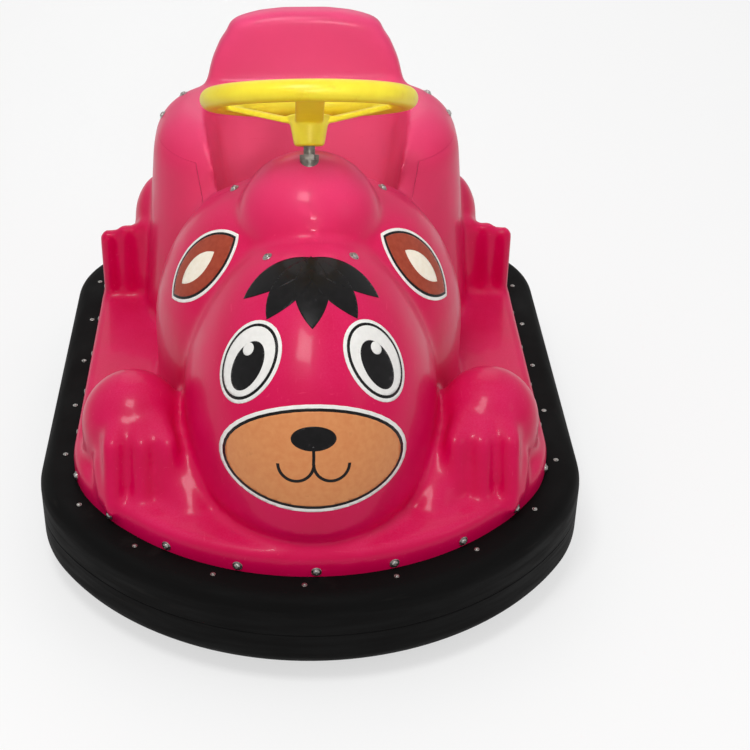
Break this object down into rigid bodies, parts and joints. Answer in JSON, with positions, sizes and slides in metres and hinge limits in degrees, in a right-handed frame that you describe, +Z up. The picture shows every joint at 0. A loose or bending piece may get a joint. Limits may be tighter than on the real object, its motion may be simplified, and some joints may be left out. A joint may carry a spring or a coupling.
{
  "type": "child's battery bumper car",
  "caption": "Ride-on battery bumper car for a child: a glossy animal-shaped body with a seat on a steel chassis inside a rubber bumper ring, steered by a dished wheel.",
  "frame": {"origin": "on the floor under the middle of the rubber ring", "axes": "+Z up, the front of the car towards -Y, +X to the driver's left"},
  "size_m": [0.9, 1.14, 0.8357],
  "materials": {
    "gelcoat": "glossy gel coat",
    "bumper_rubber": "satin moulded rubber",
    "black_steel": "satin paint",
    "galvanised_sheet": "galvanised",
    "battery_case": "moulded",
    "pedal_plastic": "ribbed",
    "bright_steel": "zinc plated",
    "bronze": "turned",
    "cast_alloy": "as cast",
    "motor_paint": "gloss paint",
    "tyre": "moulded",
    "yellow_plastic": "moulded"
  },
  "bodies": {
    "car": {"rubber_ring": "bumper_rubber", "bumper_hoop": "black_steel", "body_shell": "gelcoat", "seat_tub": "gelcoat", "rail_left": "black_steel", "rail_right": "black_steel", "crossmember_middle": "black_steel", "crossmember_rear": "black_steel", "floor_pan": "galvanised_sheet", "battery_left": "battery_case", "battery_right": "battery_case", "foot_pedal": "pedal_plastic", "rear_axle": "bright_steel", "axle_nut_left": "bright_steel", "axle_nut_right": "bright_steel", "axle_hanger_left": "black_steel", "axle_hanger_right": "black_steel", "thrust_washer": "bronze", "steering_bridge": "black_steel", "column_tube": "bright_steel", "column_stay": "black_steel"},
    "fork": {"steering_fork": "black_steel", "stem_nut": "bright_steel", "gear_case": "cast_alloy", "drive_motor": "motor_paint"},
    "drive_wheel": {"drive_tyre": "tyre", "drive_rim": "cast_alloy", "drive_axle": "bright_steel"},
    "rear_left_wheel": {"rear_left_tyre": "tyre", "rear_left_rim": "cast_alloy"},
    "rear_right_wheel": {"rear_right_tyre": "tyre", "rear_right_rim": "cast_alloy"},
    "steering": {"steering_wheel": "yellow_plastic", "steering_shaft": "bright_steel"}
  },
  "joints": [
    {"name": "steering_turn", "type": "hinge", "parent": "car", "child": "steering", "pos_m": [0, -0.049, 0.744], "axis": [0, 0.4848, 0.8746], "range_deg": [-90, 90]},
    {"name": "fork_turn", "type": "hinge", "parent": "car", "child": "fork", "pos_m": [0, -0.32283, 0.08], "axis": [0, 0, 1], "range_deg": [-90, 90]},
    {"name": "drive_spin", "type": "hinge", "parent": "fork", "child": "drive_wheel", "pos_m": [0, -0.32283, 0.08], "axis": [1, 0, 0], "continuous": true},
    {"name": "rear_left_spin", "type": "hinge", "parent": "car", "child": "rear_left_wheel", "pos_m": [0.262, 0.33, 0.08], "axis": [1, 0, 0], "continuous": true},
    {"name": "rear_right_spin", "type": "hinge", "parent": "car", "child": "rear_right_wheel", "pos_m": [-0.262, 0.33, 0.08], "axis": [1, 0, 0], "continuous": true}
  ],
  "couplings": [
    {"joint": "fork_turn", "follows": "steering_turn", "ratio": 1}
  ]
}
